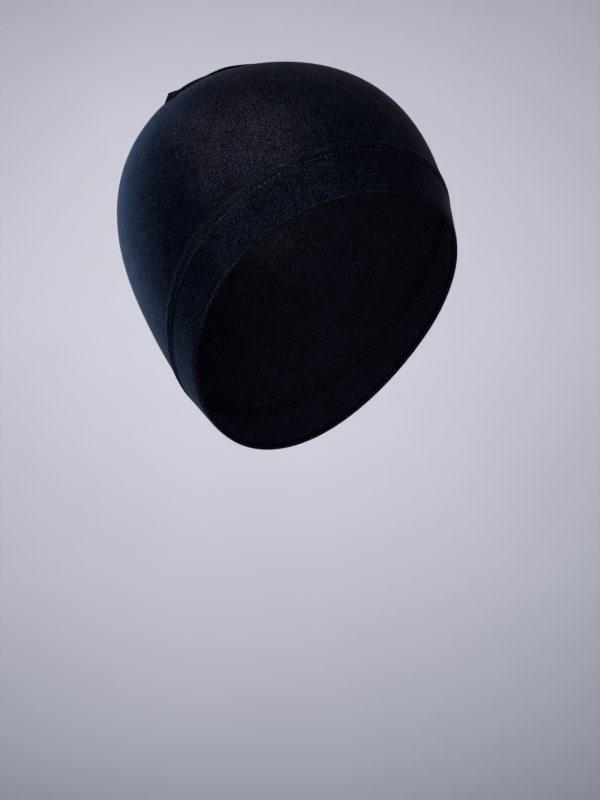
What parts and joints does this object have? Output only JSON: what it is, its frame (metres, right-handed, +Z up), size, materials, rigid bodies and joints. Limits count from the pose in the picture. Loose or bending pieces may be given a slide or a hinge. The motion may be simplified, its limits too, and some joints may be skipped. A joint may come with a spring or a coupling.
{
  "type": "sleep cap",
  "caption": "Close-fitting jersey sleep cap kept as worn: smooth dome crown, short seams meeting on top, and a turned hem sloping from the forehead down to the nape.",
  "frame": {"origin": "highest point of the inside of the smooth crown, where the cloth rests on the top of the head", "axes": "+Z up; the forehead faces -Y; the wearer's right ear is towards -X; symmetric about X = 0"},
  "size_m": [0.17, 0.1824, 0.2067],
  "materials": {
    "jersey": "fine single jersey knit, matt with a soft sheen, navy black",
    "hem_jersey": "the same jersey doubled and pressed, with two rows of stitching"
  },
  "bodies": {
    "root": {"crown": "jersey", "hem_band": "hem_jersey"}
  },
  "joints": []
}
